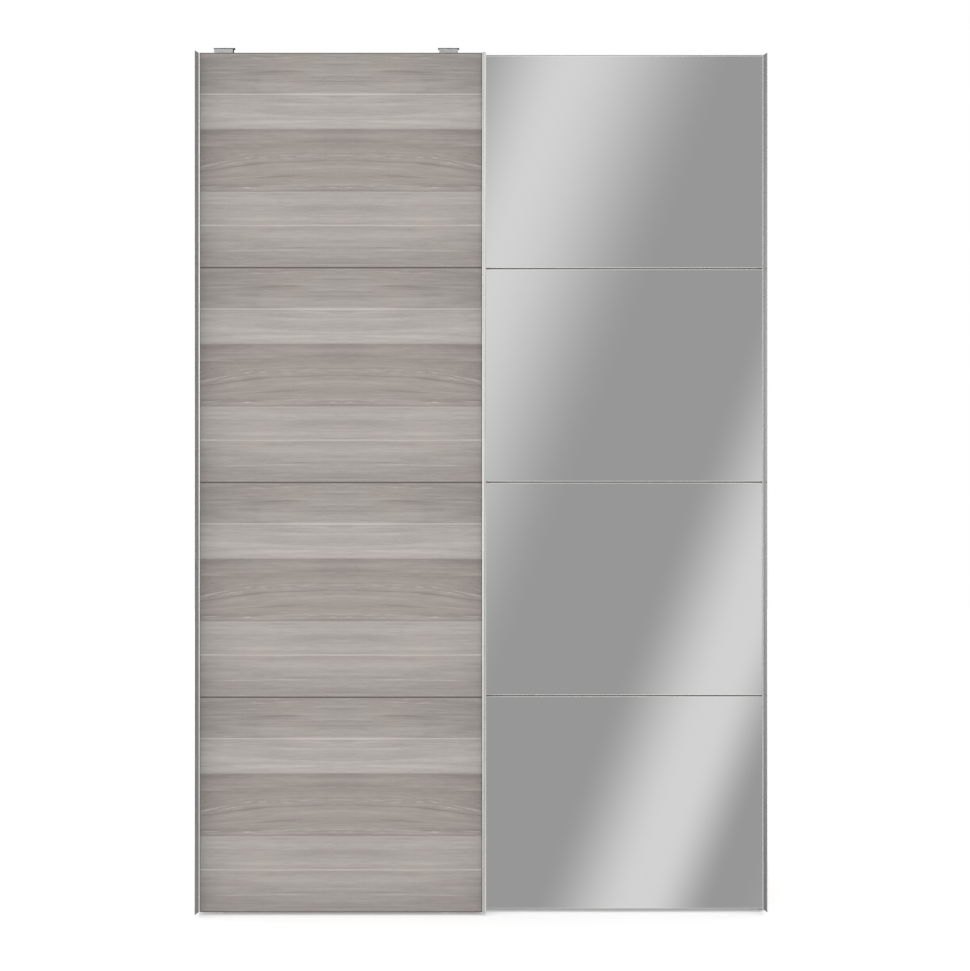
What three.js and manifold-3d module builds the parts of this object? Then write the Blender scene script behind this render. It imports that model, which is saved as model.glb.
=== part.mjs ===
// Two-door sliding wardrobe: a board carcass with a hanging bay and a shelf bay, closed by two
// top-hung doors that slide past each other. Millimetres, +X right, +Y back, +Z up.
// The origin is on the floor, under the middle of the whole piece.
import * as THREE from "three";
import { mergeVertices } from "three/addons/utils/BufferGeometryUtils.js";
import Module from "manifold-3d";

const wasm = await Module();
wasm.setup();

// ---------------------------------------------------------------- driving dimensions
const WIDTH = 1500; // over the doors and over the carcass sides
const DEPTH = 635; // handle tip to back panel
const BOARD = 18; // carcass board thickness
const CARCASS_DEPTH = 560; // front edges to the back panel's rear face
const CARCASS_TOP = 2232;
const PLINTH_HEIGHT = 60;
const PLINTH_SETBACK = 45;
const BACK_THICKNESS = 3;
const GAP = 0.3; // clearance between pieces that touch
const RUNNING = 0.08; // radial clearance of a wheel on its axle or a pin in its sleeve

const DOOR_HEIGHT = 2256;
const DOOR_LIFT = 8; // under each door
const DOOR_WIDTH = 761;
const DOOR_DEPTH = 16; // panel face to the back of the door
const BOARD_SHEET = 10; // thickness of the front door's boards
const MIRROR_SHEET = 4; // thickness of the rear door's glass
const PANEL_COUNT = 4;
const REAR_FACE = -21; // the rear door's panel face, measured back from the carcass front
const FRONT_FACE = -47; // the front door's panel face
const HANDLE_WIDTH = 10; // handle stile, seen from the front
const MEETING_WIDTH = 10.5; // meeting stile, seen from the front
const WEB_WIDTH = 6; // stile web, outside the panel's edge
const LIP = 1.5; // thickness of the stile's front lip
const RAIL_WEB = 1.8;
const RAIL_HEIGHT = 30;
const DIVIDER_WEB = 3;
const DIVIDER_FLANGE = 24;
const HANDLE_REACH = 28; // how far the grip wing stands in front of the panel face

const AXLE_DROP = 12; // wheel axle below the door's top
const WHEEL_ROLL = 10; // radius at the bottom of the groove
const WHEEL_RIM = 12.5;
const WHEEL_WIDTH = 8;
const AXLE_RADIUS = 3;
const REAR_LANE = 9; // the rear door's lane, back from the carcass front
const FRONT_LANE = 29.5; // the front door's lane, behind it
const TRACK_BASE = 3;
const BEAD_HALF = 1.1; // half the width of a running bead
const HANGER_OUTER = 69; // hanger centre from the door's handle edge
const HANGER_INNER = 99; // hanger centre from the door's meeting edge
const HANGER_WIDTH = 49;
const STEEL = 2.5; // bracket steel
const COVER_WALL = 2;
const COVER_LID = 56;
const COVER_DEPTH = 22;
const COVER_NOSE = 12; // depth of the sloping part
const COVER_TOP = 19.6; // above the door's top

const DOOR_TRAVEL = 728;
const GUIDE_PIN_RADIUS = 4;
const GUIDE_TRACK_HEIGHT = 14;
const GUIDE_REAR_LANE = 9;
const GUIDE_FRONT_LANE = 24;
const LANE_WIDTH = 10;

const HAT_SHELF_TOP = 1896;
const SHELF_SETBACK = 20;
const SHELF_COUNT = 3;
const SHELF_BACK_GAP = 2;
const RAIL_HEIGHT_Z = 1825; // centre of the hanging rail
const RAIL_RADIUS = 7.5; // half width of the oval rail, and half the length of its straight sides
const RAIL_WALL = 1.2;
const SOCKET_PLATE = { halfWidth: 20, halfHeight: 26, thickness: 4 };
const SOCKET_CUP = { depth: 14, wall: 3 };

const TRACK_WIDTH = 44;
const TRACK_WALL = 2;
const TRACK_UPSTAND = 9; // height of the top track's rear wall over its base
const STOP_INSET = 2; // track stop to the carcass side
const STOP_BRIDGE = 14;
const STOP_FINGER = 4; // half the width of a stop's finger
const STOP_HEIGHT = 12; // over the beads
const STOP_SLACK = 2; // left between wheel and finger at the end of the travel

const BRUSH_GROOVE = { width: 2.6, depth: 3, edge: 1.3 }; // in the back of every stile
const CHAMBER_WALL = 1.4; // round the hollow of a meeting stile
const GRIP = { lip: 6.4, tip: 2.4, root: 2.2 }; // grip wing: widths at its lip, tip and root
const GRIP_BEND = 9; // where the wing's curve turns, in front of the panel face
const RIDGE_HEIGHT = 10;
const RIDGE_SHOULDER = 1.3;
const RAIL_WALLS = { side: 1.5, outer: 3, inner: 2 }; // round the hollow of a door rail
const DIVIDER_RECESS = 0.8; // divider web behind the panel face
const DIVIDER_PLATE = 2;

const GROOVE_HALF = 1.6; // half the width of a wheel's groove floor
const RIM_LAND = 0.8; // flat on each edge of a wheel's rim
const SCREW_SPREAD = 14; // fixing slots each side of a hanger's centre
const SLOT_HALF = 2.75;
const SLOT_TOP = 12; // below the door's top
const SLOT_FOOT = 26;
const HANGER_FOOT = 34; // how far a hanger plate reaches down the door's back
const COLLAR_RADIUS = 5;
const HEAD_RADIUS = 4.5;
const HEAD_DEPTH = 1.5;
const BITE = 0.5; // how far joined shapes run into each other
const ARM_UNDER = 11.9; // underside of the front hanger's arm, above the door's top
const ARM_TOP = ARM_UNDER + STEEL;
const DROP_BACK = 24.5; // rear face of the front hanger's drop plate
const DROP_FOOT = 9; // drop plate below the axle
const COVER_FOOT = 4; // cover's lower edge above the door's top
const LID_THICKNESS = 3;

const PIN_TOP = 56;
const PIN_FOOT = 24;
const PIN_TAB = { halfWidth: 10, halfDepth: 5, thickness: 3 };
const GUIDE_HALF = 20; // half the width of a guide's plate
const GUIDE_FOOT_HALF = 14;
const GUIDE_TOP = 38;
const GUIDE_LOW = 14; // foot of the rear door's guide
const GUIDE_GROUND = 2.5; // foot of the front door's guide
const SLEEVE = 6; // half the depth of the block round a guide pin
const SLEEVE_HALF = 9; // half its width
const SLEEVE_LOW = 30;

// ---------------------------------------------------------------- derived places
const FRONT = DEPTH / 2 - CARCASS_DEPTH; // y of the carcass front edges
const SIDE = WIDTH / 2;
const INSIDE = SIDE - BOARD; // inner face of a side panel
const BOARD_BACK = CARCASS_DEPTH - BACK_THICKNESS - GAP; // rear edge of the boards
const DOOR_BOTTOM = DOOR_LIFT;
const DOOR_TOP = DOOR_LIFT + DOOR_HEIGHT;
const AXLE_Z = DOOR_TOP - AXLE_DROP;
const BEAD_TOP = AXLE_Z - WHEEL_ROLL - GAP;
const BOTTOM_TOP = PLINTH_HEIGHT + BOARD; // upper face of the bottom panel

// ---------------------------------------------------------------- materials
const finish = (color, roughness, metalness) =>
  new THREE.MeshStandardMaterial({ color, roughness, metalness });
const material = {
  carcass: finish(0xa59c95, 0.6, 0),
  woodPanel: finish(0xa8a29d, 0.55, 0),
  mirror: finish(0xd8dadb, 0.03, 1),
  aluminium: finish(0xcfcfcd, 0.3, 1),
  darkProfile: finish(0x4d4844, 0.5, 0.6),
  steel: finish(0xb9bcbd, 0.35, 1),
  blackPlastic: finish(0x1b1b1c, 0.5, 0),
  whitePlastic: finish(0xe4e4e0, 0.5, 0),
  backBoard: finish(0xcdc8c0, 0.8, 0),
};

const wardrobe = new THREE.Group();

// ---------------------------------------------------------------- geometry helpers
function addMesh(name, geometry, look) {
  const mesh = new THREE.Mesh(geometry, look);
  mesh.name = name;
  wardrobe.add(mesh);
  return mesh;
}

// A box between two limits on each axis; y is measured back from the carcass front.
function slab([x0, x1], [c0, c1], [z0, z1]) {
  return new THREE.BoxGeometry(x1 - x0, c1 - c0, z1 - z0).translate(
    (x0 + x1) / 2,
    FRONT + (c0 + c1) / 2,
    (z0 + z1) / 2,
  );
}

// A plan outline, x against depth, extruded upwards.
function upright(shape, z0, z1) {
  return new THREE.ExtrudeGeometry(shape, {
    depth: z1 - z0,
    bevelEnabled: false,
    curveSegments: 6,
  }).translate(0, FRONT, z0);
}

// A section, depth against height, extruded along X.
function lengthwise(shape, x0, x1) {
  const alongX = new THREE.Matrix4().makeBasis(
    new THREE.Vector3(0, 1, 0),
    new THREE.Vector3(0, 0, 1),
    new THREE.Vector3(1, 0, 0),
  );
  return new THREE.ExtrudeGeometry(shape, {
    depth: x1 - x0,
    bevelEnabled: false,
    curveSegments: 10,
  })
    .applyMatrix4(alongX)
    .translate(x0, FRONT, 0);
}

// A round bar along Y, from depth c0 to depth c1.
function barAlongY(x, z, radius, c0, c1) {
  return new THREE.CylinderGeometry(radius, radius, c1 - c0, 24).translate(
    x,
    FRONT + (c0 + c1) / 2,
    z,
  );
}

// A round bar along Z.
function barAlongZ(x, c, radius, z0, z1) {
  return new THREE.CylinderGeometry(radius, radius, z1 - z0, 24)
    .rotateX(Math.PI / 2)
    .translate(x, FRONT + c, (z0 + z1) / 2);
}

// A closed outline, kept counter-clockwise so that an extrusion also turns its holes.
function polygon(points) {
  const path = points.map(([u, v]) => new THREE.Vector2(u, v));
  return new THREE.Shape(THREE.ShapeUtils.isClockWise(path) ? path.reverse() : path);
}

function rectangle(u0, u1, v0, v1) {
  return polygon([
    [u0, v0],
    [u1, v0],
    [u1, v1],
    [u0, v1],
  ]);
}

function toSolid(geometry) {
  const plain = geometry.index ? geometry.toNonIndexed() : geometry.clone();
  const bare = new THREE.BufferGeometry().setAttribute(
    "position",
    plain.getAttribute("position"),
  );
  const merged = mergeVertices(bare, 1e-3);
  return new wasm.Manifold(
    new wasm.Mesh({
      numProp: 3,
      vertProperties: merged.attributes.position.array,
      triVerts: new Uint32Array(merged.index.array),
    }),
  );
}

function toGeometry(solid) {
  const mesh = solid.getMesh();
  return new THREE.BufferGeometry()
    .setAttribute("position", new THREE.BufferAttribute(mesh.vertProperties, 3))
    .setIndex(new THREE.BufferAttribute(mesh.triVerts, 1));
}

// Joins the first list of geometries and cuts the second list out of them.
function joined(parts, cuts = []) {
  let solid = parts.map(toSolid).reduce((a, b) => a.add(b));
  for (const cut of cuts) solid = solid.subtract(toSolid(cut));
  return toGeometry(solid);
}

// ---------------------------------------------------------------- carcass
function buildCarcass() {
  const depth = [0, BOARD_BACK];
  const board = (name, x, c, z) =>
    addMesh(name, slab(x, c, z), material.carcass);
  board("side_panel_left", [-SIDE, -INSIDE], depth, [0, CARCASS_TOP]);
  board("side_panel_right", [INSIDE, SIDE], depth, [0, CARCASS_TOP]);

  const between = [-INSIDE + GAP, INSIDE - GAP];
  const topUnder = CARCASS_TOP - BOARD;
  board("top_panel", between, depth, [topUnder, CARCASS_TOP]);
  board("bottom_panel", between, depth, [PLINTH_HEIGHT, BOTTOM_TOP]);
  board(
    "plinth_board",
    between,
    [PLINTH_SETBACK, PLINTH_SETBACK + BOARD],
    [0, PLINTH_HEIGHT - GAP],
  );
  board("centre_partition", [-BOARD / 2, BOARD / 2], depth, [
    BOTTOM_TOP + GAP,
    topUnder - GAP,
  ]);

  const backDepth = [CARCASS_DEPTH - BACK_THICKNESS, CARCASS_DEPTH];
  const backHeight = [PLINTH_HEIGHT, CARCASS_TOP];
  const backEdge = SIDE - 1;
  addMesh(
    "back_panel_left",
    slab([-backEdge, -GAP], backDepth, backHeight),
    material.backBoard,
  );
  addMesh(
    "back_panel_right",
    slab([GAP, backEdge], backDepth, backHeight),
    material.backBoard,
  );
}

// The hat shelves over both bays and the adjustable shelves in the right one.
function buildShelves() {
  const bays = {
    left: [-INSIDE + GAP, -BOARD / 2 - GAP],
    right: [BOARD / 2 + GAP, INSIDE - GAP],
  };
  const depth = [SHELF_SETBACK, BOARD_BACK - SHELF_BACK_GAP];
  for (const [side, bay] of Object.entries(bays))
    addMesh(
      `hat_shelf_${side}`,
      slab(bay, depth, [HAT_SHELF_TOP - BOARD, HAT_SHELF_TOP]),
      material.carcass,
    );
  const room = HAT_SHELF_TOP - BOTTOM_TOP;
  for (let i = 1; i <= SHELF_COUNT; i++) {
    const top = BOTTOM_TOP + (room * i) / (SHELF_COUNT + 1);
    addMesh(
      `shelf_right_${i}`,
      slab(bays.right, depth, [top - BOARD, top]),
      material.carcass,
    );
  }
}

// An upright oval, centred in the (depth, height) plane.
function oval(centre, height, halfLength, radius) {
  const outline = new THREE.Shape();
  outline.absarc(centre, height + halfLength, radius, 0, Math.PI, false);
  outline.absarc(centre, height - halfLength, radius, Math.PI, 2 * Math.PI, false);
  return outline;
}

// The oval clothes rail in the left bay, dropped into an open cup at each end.
function buildHangingRail() {
  const centre = BOARD_BACK / 2;
  const halfLength = RAIL_RADIUS;
  const radius = RAIL_RADIUS;
  const left = -INSIDE + GAP;
  const right = -BOARD / 2 - GAP;
  const tube = oval(centre, RAIL_HEIGHT_Z, halfLength, radius);
  tube.holes.push(oval(centre, RAIL_HEIGHT_Z, halfLength, radius - RAIL_WALL));
  const flange = SOCKET_PLATE.thickness;
  addMesh(
    "hanging_rail",
    lengthwise(tube, left + flange + GAP, right - flange - GAP),
    material.steel,
  );

  const plate = rectangle(
    centre - SOCKET_PLATE.halfWidth,
    centre + SOCKET_PLATE.halfWidth,
    RAIL_HEIGHT_Z - SOCKET_PLATE.halfHeight,
    RAIL_HEIGHT_Z + SOCKET_PLATE.halfHeight,
  );
  const inner = radius + GAP;
  const outer = inner + SOCKET_CUP.wall;
  const rim = RAIL_HEIGHT_Z + halfLength;
  const base = RAIL_HEIGHT_Z - halfLength;
  const cup = new THREE.Shape();
  cup.moveTo(centre - outer, rim);
  cup.lineTo(centre - outer, base);
  cup.absarc(centre, base, outer, Math.PI, 2 * Math.PI, false);
  cup.lineTo(centre + outer, rim);
  cup.lineTo(centre + inner, rim);
  cup.absarc(centre, base, inner, 2 * Math.PI, Math.PI, true);
  cup.lineTo(centre - inner, rim);
  cup.closePath();
  const socket = (plateX, cupX) =>
    joined([lengthwise(plate, ...plateX), lengthwise(cup, ...cupX)]);
  addMesh(
    "rail_socket_left",
    socket([left, left + flange], [left + flange - 1, left + SOCKET_CUP.depth]),
    material.steel,
  );
  addMesh(
    "rail_socket_right",
    socket([right - flange, right], [right - SOCKET_CUP.depth, right - flange + 1]),
    material.steel,
  );
}

// ---------------------------------------------------------------- tracks
// The top track lies on the top panel: a base with one running bead for each door.
function buildTopTrack() {
  const low = CARCASS_TOP + GAP;
  const base = low + TRACK_BASE;
  const rear = TRACK_WIDTH;
  const upstand = base + TRACK_UPSTAND;
  const section = polygon([
    [0, low],
    [rear, low],
    [rear, upstand],
    [rear - TRACK_WALL, upstand],
    [rear - TRACK_WALL, base],
    [FRONT_LANE + BEAD_HALF, base],
    [FRONT_LANE + BEAD_HALF, BEAD_TOP],
    [FRONT_LANE - BEAD_HALF, BEAD_TOP],
    [FRONT_LANE - BEAD_HALF, base],
    [REAR_LANE + BEAD_HALF, base],
    [REAR_LANE + BEAD_HALF, BEAD_TOP],
    [REAR_LANE - BEAD_HALF, BEAD_TOP],
    [REAR_LANE - BEAD_HALF, base],
    [0, base],
  ]);
  addMesh("top_track", lengthwise(section, -SIDE, SIDE), material.aluminium);
}

// The guide track hangs under the bottom panel, with two lanes that open downwards.
function buildGuideTrack() {
  const high = PLINTH_HEIGHT - GAP;
  const low = high - GUIDE_TRACK_HEIGHT;
  const roof = high - TRACK_WALL;
  const half = LANE_WIDTH / 2;
  const section = polygon([
    [0, low],
    [GUIDE_REAR_LANE - half, low],
    [GUIDE_REAR_LANE - half, roof],
    [GUIDE_REAR_LANE + half, roof],
    [GUIDE_REAR_LANE + half, low],
    [GUIDE_FRONT_LANE - half, low],
    [GUIDE_FRONT_LANE - half, roof],
    [GUIDE_FRONT_LANE + half, roof],
    [GUIDE_FRONT_LANE + half, low],
    [GUIDE_FRONT_LANE + half + 2 * TRACK_WALL, low],
    [GUIDE_FRONT_LANE + half + 2 * TRACK_WALL, high],
    [0, high],
  ]);
  addMesh(
    "guide_track",
    lengthwise(section, -INSIDE + GAP, INSIDE - GAP),
    material.aluminium,
  );
}

// A stop at each end of the top track straddles both beads. Its two fingers meet the wheels.
function buildTrackStops() {
  const end = SIDE - STOP_INSET;
  const bridge = end - STOP_BRIDGE;
  const finger = STOP_FINGER;
  const low = CARCASS_TOP + TRACK_BASE + 2 * GAP;
  const high = BEAD_TOP + STOP_HEIGHT;
  const reach = WHEEL_RIM + STOP_SLACK;
  const closed = SIDE - HANGER_OUTER + reach;
  const open = DOOR_WIDTH - SIDE - HANGER_INNER + DOOR_TRAVEL + reach;
  const stop = (name, sign, frontEnd, rearEnd) => {
    const outline = [
      [end, REAR_LANE - finger],
      [rearEnd, REAR_LANE - finger],
      [rearEnd, REAR_LANE + finger],
      [bridge, REAR_LANE + finger],
      [bridge, FRONT_LANE - finger],
      [frontEnd, FRONT_LANE - finger],
      [frontEnd, FRONT_LANE + finger],
      [end, FRONT_LANE + finger],
    ].map(([x, c]) => [sign * x, c]);
    const grooves = [REAR_LANE, FRONT_LANE].map((lane) =>
      slab(
        [-SIDE, SIDE],
        [lane - BEAD_HALF - GAP, lane + BEAD_HALF + GAP],
        [low - 1, BEAD_TOP + GAP],
      ),
    );
    addMesh(
      name,
      joined([upright(polygon(outline), low, high)], grooves),
      material.blackPlastic,
    );
  };
  stop("track_stop_left", -1, closed, open);
  stop("track_stop_right", 1, open, closed);
}

// ---------------------------------------------------------------- door profiles
// Every stile outline runs inward from the door's edge (a) and back from the panel face (b).
// It ends with the back of the stile, its brush groove and the slot that takes the panel.
function finishStile(shape, webOuter, width, sheet) {
  const back = DOOR_DEPTH;
  const slot = sheet + GAP;
  const grooveInner = width - BRUSH_GROOVE.edge;
  const groove = {
    outer: grooveInner - BRUSH_GROOVE.width,
    inner: grooveInner,
    floor: back - BRUSH_GROOVE.depth,
  };
  shape.lineTo(webOuter, back);
  shape.lineTo(groove.outer, back);
  shape.lineTo(groove.outer, groove.floor);
  shape.lineTo(groove.inner, groove.floor);
  shape.lineTo(groove.inner, back);
  shape.lineTo(width, back);
  shape.lineTo(width, slot);
  shape.lineTo(WEB_WIDTH, slot);
  shape.lineTo(WEB_WIDTH, -GAP);
  shape.lineTo(width, -GAP);
  shape.closePath();
  return shape;
}

// The chamber that runs up a meeting stile, from just behind its front to its back.
function hollow(shape, front) {
  const back = DOOR_DEPTH - BRUSH_GROOVE.depth - 2;
  shape.holes.push(rectangle(CHAMBER_WALL, WEB_WIDTH - CHAMBER_WALL, front, back));
  return shape;
}

// The handle stile carries a grip wing that curves forward and outward.
function handleSection(sheet) {
  const face = -GAP - LIP;
  const shape = new THREE.Shape();
  shape.moveTo(HANDLE_WIDTH, face);
  shape.lineTo(GRIP.lip, face);
  shape.quadraticCurveTo(GRIP.tip + 1, -GRIP_BEND, GRIP.tip, -HANDLE_REACH + 1);
  shape.quadraticCurveTo(GRIP.tip / 2, -HANDLE_REACH - 1, 0, -HANDLE_REACH + 1);
  shape.quadraticCurveTo(0.8, -GRIP_BEND, GRIP.root, 0);
  return finishStile(shape, GRIP.root, HANDLE_WIDTH, sheet);
}

// The front door's meeting stile has a low flat ridge with rounded shoulders.
function ridgeSection(sheet) {
  const top = -RIDGE_HEIGHT;
  const shoulder = RIDGE_SHOULDER;
  const inner = MEETING_WIDTH - 0.3;
  const shape = new THREE.Shape();
  shape.moveTo(MEETING_WIDTH, -GAP - LIP);
  shape.lineTo(inner, top + shoulder);
  shape.quadraticCurveTo(inner, top, inner - shoulder, top);
  shape.lineTo(shoulder, top);
  shape.quadraticCurveTo(0, top, 0, top + shoulder);
  return hollow(finishStile(shape, 0, MEETING_WIDTH, sheet), top + 3);
}

// The rear door's meeting stile is flat, so that the front door passes over it.
function flatSection(sheet) {
  const face = -GAP - LIP;
  const shape = new THREE.Shape();
  shape.moveTo(MEETING_WIDTH, face);
  shape.lineTo(0.6, face);
  shape.lineTo(0, face + 0.6);
  return hollow(finishStile(shape, 0, MEETING_WIDTH, sheet), 0);
}

// Places a stile outline at a door's edge; sign is +1 at its left edge and -1 at its right.
function placeSection(shape, edge, sign, face) {
  const place = (path) => path.getPoints(6).map((p) => [edge + sign * p.x, face + p.y]);
  const placed = polygon(place(shape));
  placed.holes = shape.holes.map((hole) => polygon(place(hole)));
  return placed;
}

// ---------------------------------------------------------------- doors
function buildDoor({ name, left, face, handleSide, meeting, panelName, panel, sheet }) {
  const right = left + DOOR_WIDTH;
  const stiles = {
    left: handleSide === "left" ? handleSection(sheet) : meeting(sheet),
    right: handleSide === "right" ? handleSection(sheet) : meeting(sheet),
  };
  const title = (side) => (side === handleSide ? "handle" : "meeting");
  const stile = (side, edge, sign) =>
    addMesh(
      `${name}_${title(side)}_stile`,
      upright(placeSection(stiles[side], edge, sign, face), DOOR_BOTTOM, DOOR_TOP),
      material.aluminium,
    );
  stile("left", left, 1);
  stile("right", right, -1);

  const width = (side) => (side === handleSide ? HANDLE_WIDTH : MEETING_WIDTH);
  const from = left + width("left") + GAP;
  const to = right - width("right") - GAP;
  const across = { from, to, face, slot: face + sheet + GAP };
  buildRail(`${name}_top_rail`, across, DOOR_TOP, -1);
  buildRail(`${name}_bottom_rail`, across, DOOR_BOTTOM, 1);

  const low = DOOR_BOTTOM + RAIL_WEB;
  const high = DOOR_TOP - RAIL_WEB;
  const pitch = (high - low + DIVIDER_WEB) / PANEL_COUNT;
  for (let i = 0; i < PANEL_COUNT; i++) {
    const z0 = low + i * pitch;
    addMesh(
      `${name}_${panelName}_${i + 1}`,
      slab(
        [left + WEB_WIDTH + GAP, right - WEB_WIDTH - GAP],
        [face, face + sheet],
        [z0 + GAP, z0 + pitch - DIVIDER_WEB - GAP],
      ),
      panel,
    );
    if (i > 0) buildDivider(`${name}_divider_${i}`, across, z0 - DIVIDER_WEB / 2);
  }
}

// A rail closes a panel's outer edge with a thin web and has a hollow box behind the panel.
function buildRail(name, { from, to, face, slot }, edge, inward) {
  const back = face + DOOR_DEPTH;
  const web = edge + inward * RAIL_WEB;
  const end = edge + inward * RAIL_HEIGHT;
  const section = polygon([
    [face, edge],
    [back, edge],
    [back, end],
    [slot, end],
    [slot, web],
    [face, web],
  ]);
  section.holes.push(
    rectangle(
      slot + RAIL_WALLS.side,
      back - RAIL_WALLS.side,
      edge + inward * RAIL_WALLS.outer,
      end - inward * RAIL_WALLS.inner,
    ),
  );
  addMesh(name, lengthwise(section, from, to), material.darkProfile);
}

// A T bar between two panels: its web is the thin line that shows, its flange is behind.
function buildDivider(name, { from, to, face, slot }, centre) {
  const recess = face + DIVIDER_RECESS;
  const back = slot + DIVIDER_PLATE;
  const web = DIVIDER_WEB / 2;
  const flange = DIVIDER_FLANGE / 2;
  const section = polygon([
    [recess, centre - web],
    [slot, centre - web],
    [slot, centre - flange],
    [back, centre - flange],
    [back, centre + flange],
    [slot, centre + flange],
    [slot, centre + web],
    [recess, centre + web],
  ]);
  addMesh(name, lengthwise(section, from, to), material.darkProfile);
}

// ---------------------------------------------------------------- wheels and hangers
// A grooved wheel that turns about Y and runs on a bead.
function buildWheel(name, x, lane) {
  const half = WHEEL_WIDTH / 2;
  const bore = AXLE_RADIUS + RUNNING;
  const groove = GROOVE_HALF;
  const profile = [
    [bore, -half],
    [WHEEL_RIM, -half],
    [WHEEL_RIM, -half + RIM_LAND],
    [WHEEL_ROLL, -groove],
    [WHEEL_ROLL, groove],
    [WHEEL_RIM, half - RIM_LAND],
    [WHEEL_RIM, half],
    [bore, half],
    [bore, -half],
  ].map(([r, y]) => new THREE.Vector2(r, y));
  const geometry = new THREE.LatheGeometry(profile, 32).translate(
    x,
    FRONT + lane,
    AXLE_Z,
  );
  addMesh(name, geometry, material.whitePlastic);
}

const hangerSpan = (x) => [x - HANGER_WIDTH / 2, x + HANGER_WIDTH / 2];
const fixingSlots = (x, c0, c1) =>
  [-SCREW_SPREAD, SCREW_SPREAD].map((dx) =>
    slab(
      [x + dx - SLOT_HALF, x + dx + SLOT_HALF],
      [c0 - 1, c1 + 1],
      [DOOR_TOP - SLOT_FOOT, DOOR_TOP - SLOT_TOP],
    ),
  );

// A stub axle from a plate's rear face, through the wheel to its head.
function stubAxle(x, lane, from) {
  const wheelFront = lane - WHEEL_WIDTH / 2 - GAP;
  const wheelBack = lane + WHEEL_WIDTH / 2 + GAP;
  return [
    barAlongY(x, AXLE_Z, COLLAR_RADIUS, from - BITE, wheelFront),
    barAlongY(x, AXLE_Z, AXLE_RADIUS, from - 2 * BITE, wheelBack + BITE),
    barAlongY(x, AXLE_Z, HEAD_RADIUS, wheelBack, wheelBack + HEAD_DEPTH),
  ];
}

// The rear door's hanger is a plate on the door's back with a stub axle.
function buildRearHanger(name, x) {
  const back = REAR_FACE + DOOR_DEPTH + GAP;
  const plateBack = back + STEEL - GAP;
  const plate = slab(hangerSpan(x), [back, plateBack], [DOOR_TOP - HANGER_FOOT, DOOR_TOP - 3]);
  const solids = [plate, ...stubAxle(x, REAR_LANE, plateBack)];
  addMesh(name, joined(solids, fixingSlots(x, back, plateBack)), material.steel);
}

// The front door's hanger rises above the door and reaches back over the rear door.
function buildFrontHanger(name, x) {
  const back = FRONT_FACE + DOOR_DEPTH + GAP;
  const plateBack = back + STEEL;
  const armTop = DOOR_TOP + ARM_TOP;
  const armHalf = HANGER_WIDTH / 2 - COVER_WALL - 2 * GAP;
  const armSpan = [x - armHalf, x + armHalf];
  const plate = slab(hangerSpan(x), [back, plateBack], [DOOR_TOP - HANGER_FOOT, armTop]);
  const arm = slab(armSpan, [back, DROP_BACK], [DOOR_TOP + ARM_UNDER, armTop]);
  const drop = slab(armSpan, [DROP_BACK - STEEL, DROP_BACK], [AXLE_Z - DROP_FOOT, armTop]);
  const solids = [plate, arm, drop, ...stubAxle(x, FRONT_LANE, DROP_BACK)];
  addMesh(name, joined(solids, fixingSlots(x, back, plateBack)), material.steel);
}

// A moulded cover clips over the front hanger's arm: two cheeks, a sloping nose and a lid.
function buildHangerCover(name, x) {
  const front = FRONT_FACE + DOOR_DEPTH + STEEL + 2 * GAP;
  const brow = front + COVER_NOSE;
  const back = front + COVER_DEPTH;
  const lidLow = DOOR_TOP + COVER_TOP - LID_THICKNESS;
  const nose = DOOR_TOP + ARM_TOP + GAP;
  const outer = HANGER_WIDTH / 2;
  const side = polygon([
    [front, DOOR_TOP + COVER_FOOT],
    [front, nose + 1],
    [brow, lidLow + 1],
    [back, lidLow + 1],
    [back, DOOR_TOP + COVER_FOOT],
  ]);
  const skin = polygon([
    [front, nose],
    [front, nose + 1],
    [brow + 1, lidLow + 1.2],
    [brow + 1, lidLow],
  ]);
  const lid = slab(
    [x - COVER_LID / 2, x + COVER_LID / 2],
    [brow, back],
    [lidLow, DOOR_TOP + COVER_TOP],
  );
  const parts = [
    lengthwise(side, x - outer, x - outer + COVER_WALL),
    lengthwise(side, x + outer - COVER_WALL, x + outer),
    lengthwise(skin, x - outer, x + outer),
    lid,
  ];
  addMesh(name, joined(parts), material.blackPlastic);
}

// ---------------------------------------------------------------- bottom guides
function pinHole(x, lane) {
  return barAlongZ(x, lane, GUIDE_PIN_RADIUS + RUNNING, SLEEVE_LOW - 1, GUIDE_TOP + 1);
}

// The rear door's guide is a bracket on the door's back, its pin in the front lane.
function buildRearGuide(name, x) {
  const back = REAR_FACE + DOOR_DEPTH + GAP;
  const plate = slab([x - GUIDE_HALF, x + GUIDE_HALF], [back, back + 2], [GUIDE_LOW, GUIDE_TOP]);
  const block = slab(
    [x - SLEEVE_HALF, x + SLEEVE_HALF],
    [back + 1, GUIDE_REAR_LANE + SLEEVE],
    [SLEEVE_LOW, GUIDE_TOP],
  );
  addMesh(name, joined([plate, block], [pinHole(x, GUIDE_REAR_LANE)]), material.blackPlastic);
}

// The front door's guide passes under the rear door and comes up behind it.
function buildFrontGuide(name, x) {
  const back = FRONT_FACE + DOOR_DEPTH + GAP;
  const rear = GUIDE_FRONT_LANE + SLEEVE + STEEL;
  const height = [GUIDE_GROUND, GUIDE_TOP];
  const footSpan = [x - GUIDE_FOOT_HALF, x + GUIDE_FOOT_HALF];
  const plate = slab([x - GUIDE_HALF, x + GUIDE_HALF], [back, back + STEEL], height);
  const foot = slab(footSpan, [back, rear], [GUIDE_GROUND, GUIDE_GROUND + STEEL]);
  const riser = slab(footSpan, [rear - STEEL, rear], height);
  const block = slab(
    [x - SLEEVE_HALF, x + SLEEVE_HALF],
    [GUIDE_FRONT_LANE - SLEEVE, rear - 1],
    [SLEEVE_LOW, GUIDE_TOP],
  );
  const hole = pinHole(x, GUIDE_FRONT_LANE);
  addMesh(name, joined([plate, foot, riser, block], [hole]), material.steel);
}

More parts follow.
